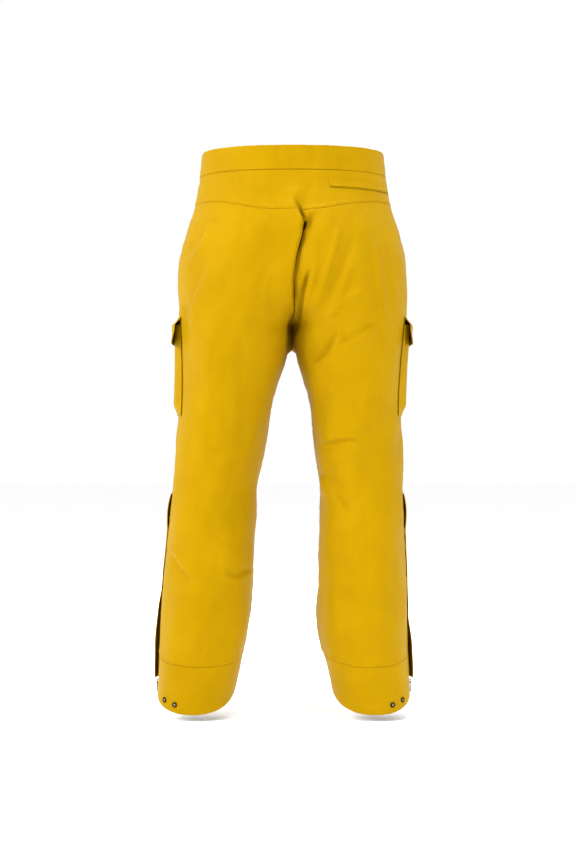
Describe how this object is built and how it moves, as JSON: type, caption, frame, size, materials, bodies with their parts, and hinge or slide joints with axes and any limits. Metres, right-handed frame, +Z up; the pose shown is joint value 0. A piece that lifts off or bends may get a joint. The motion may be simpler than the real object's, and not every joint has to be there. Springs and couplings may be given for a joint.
{
  "type": "bunker pants",
  "caption": "Loose insulated work trousers as worn: plain waistband, back yoke with a welt pocket, cargo pockets with flaps, zipped lower legs and deep cuffs.",
  "frame": {"origin": "centre of the waist opening, level with the band's upper edge at the sides", "axes": "+Z up, +Y the way the wearer faces, +X the wearer's right"},
  "size_m": [0.4807, 0.2815, 1.0339],
  "materials": {
    "shell_cloth": "satin coated weave",
    "lining": "dull taffeta",
    "pocket_cloth": "dull plain weave",
    "zip_tape": "woven tape",
    "hook_and_loop": "fuzzy pile",
    "zip_metal": "antique satin",
    "snap_metal": "antique satin"
  },
  "bodies": {
    "trousers": {"back_yoke": "shell_cloth", "back_pocket_welt": "shell_cloth", "back_pocket_bag": "pocket_cloth", "waistband_back": "shell_cloth", "waistband_front_left": "shell_cloth", "waistband_front_right": "shell_cloth", "waist_snap_stud_1": "snap_metal", "waist_snap_stud_2": "snap_metal", "fly_zip_tape": "zip_tape", "fly_shield": "shell_cloth", "back_panel_left": "shell_cloth", "front_panel_left": "shell_cloth", "knee_patch_left": "shell_cloth", "lining_left": "lining", "hem_cuff_left": "shell_cloth", "hand_zip_tape_left": "zip_tape", "hand_pocket_bag_left": "pocket_cloth", "cargo_pocket_left": "shell_cloth", "cargo_loop_patch_left": "hook_and_loop", "leg_zip_tape_left": "zip_tape", "leg_zip_guard_left": "shell_cloth", "hem_snap_left_1": "snap_metal", "hem_snap_left_2": "snap_metal", "back_panel_right": "shell_cloth", "front_panel_right": "shell_cloth", "knee_patch_right": "shell_cloth", "lining_right": "lining", "hem_cuff_right": "shell_cloth", "hand_zip_tape_right": "zip_tape", "hand_pocket_bag_right": "pocket_cloth", "cargo_pocket_right": "shell_cloth", "cargo_loop_patch_right": "hook_and_loop", "leg_zip_tape_right": "zip_tape", "leg_zip_guard_right": "shell_cloth", "hem_snap_right_1": "snap_metal", "hem_snap_right_2": "snap_metal"},
    "fly_flap": {"fly_placket": "shell_cloth", "waist_tab": "shell_cloth", "waist_snap_cap_1": "snap_metal", "waist_snap_cap_2": "snap_metal"},
    "fly_zip_slider": {"fly_zip_slider": "zip_metal", "fly_zip_pull": "zip_metal"},
    "hand_zip_slider_left": {"hand_zip_slider_left": "zip_metal"},
    "hand_zip_pull_left": {"hand_zip_pull_left": "zip_metal"},
    "cargo_flap_left": {"cargo_flap_left": "shell_cloth", "cargo_hook_patch_left": "hook_and_loop"},
    "leg_zip_flap_left": {"leg_zip_flap_left": "shell_cloth"},
    "leg_zip_slider_left": {"leg_zip_slider_left": "zip_metal"},
    "leg_zip_pull_left": {"leg_zip_pull_left": "zip_metal"},
    "hand_zip_slider_right": {"hand_zip_slider_right": "zip_metal"},
    "hand_zip_pull_right": {"hand_zip_pull_right": "zip_metal"},
    "cargo_flap_right": {"cargo_flap_right": "shell_cloth", "cargo_hook_patch_right": "hook_and_loop"},
    "leg_zip_flap_right": {"leg_zip_flap_right": "shell_cloth"},
    "leg_zip_slider_right": {"leg_zip_slider_right": "zip_metal"},
    "leg_zip_pull_right": {"leg_zip_pull_right": "zip_metal"}
  },
  "joints": [
    {"name": "fly_zip_slide", "type": "slide", "parent": "trousers", "child": "fly_zip_slider", "axis": [0, 0.0376, -0.9993], "range_m": [0, 0.135]},
    {"name": "fly_flap_hinge", "type": "hinge", "parent": "trousers", "child": "fly_flap", "pos_m": [-0.03803, 0.11784, -0.12592], "axis": [-0.0013, -0.0716, 0.9974], "range_deg": [0, 110]},
    {"name": "hand_zip_slide_left", "type": "slide", "parent": "trousers", "child": "hand_zip_slider_left", "axis": [-0.4124, -0.0684, -0.9084], "range_m": [0, 0.113]},
    {"name": "hand_zip_pull_hinge_left", "type": "hinge", "parent": "hand_zip_slider_left", "child": "hand_zip_pull_left", "pos_m": [-0.11939, 0.09109, -0.07977], "axis": [0.7498, 0.5409, -0.3811], "range_deg": [0, 120]},
    {"name": "leg_zip_slide_left", "type": "slide", "parent": "trousers", "child": "leg_zip_slider_left", "axis": [0.0733, 0.0151, 0.9972], "range_m": [0, 0.331]},
    {"name": "leg_zip_pull_hinge_left", "type": "hinge", "parent": "leg_zip_slider_left", "child": "leg_zip_pull_left", "pos_m": [-0.25287, -0.00151, -0.98339], "axis": [-0.0011, 0.9999, -0.015], "range_deg": [0, 90]},
    {"name": "leg_zip_flap_hinge_left", "type": "hinge", "parent": "trousers", "child": "leg_zip_flap_left", "pos_m": [-0.24201, 0.01934, -0.80413], "axis": [-0.0743, -0.0148, -0.9971], "range_deg": [0, 110]},
    {"name": "cargo_flap_hinge_left", "type": "hinge", "parent": "trousers", "child": "cargo_flap_left", "pos_m": [-0.21184, 0.01911, -0.30601], "axis": [0.1057, 0.9944, 0], "range_deg": [0, 100]},
    {"name": "hand_zip_slide_right", "type": "slide", "parent": "trousers", "child": "hand_zip_slider_right", "axis": [0.4124, -0.0684, -0.9084], "range_m": [0, 0.113]},
    {"name": "hand_zip_pull_hinge_right", "type": "hinge", "parent": "hand_zip_slider_right", "child": "hand_zip_pull_right", "pos_m": [0.11939, 0.09109, -0.07977], "axis": [0.7498, -0.5409, 0.3811], "range_deg": [0, 120]},
    {"name": "leg_zip_slide_right", "type": "slide", "parent": "trousers", "child": "leg_zip_slider_right", "axis": [-0.0353, 0.0151, 0.9993], "range_m": [0, 0.33]},
    {"name": "leg_zip_pull_hinge_right", "type": "hinge", "parent": "leg_zip_slider_right", "child": "leg_zip_pull_right", "pos_m": [0.21927, -0.00151, -0.98344], "axis": [-0.0002, -0.9999, 0.0151], "range_deg": [0, 90]},
    {"name": "leg_zip_flap_hinge_right", "type": "hinge", "parent": "trousers", "child": "leg_zip_flap_right", "pos_m": [0.21203, 0.01934, -0.80443], "axis": [-0.0336, 0.0149, 0.9993], "range_deg": [0, 110]},
    {"name": "cargo_flap_hinge_right", "type": "hinge", "parent": "trousers", "child": "cargo_flap_right", "pos_m": [0.21095, 0.01911, -0.30607], "axis": [0.1057, -0.9944, 0], "range_deg": [0, 100]}
  ]
}
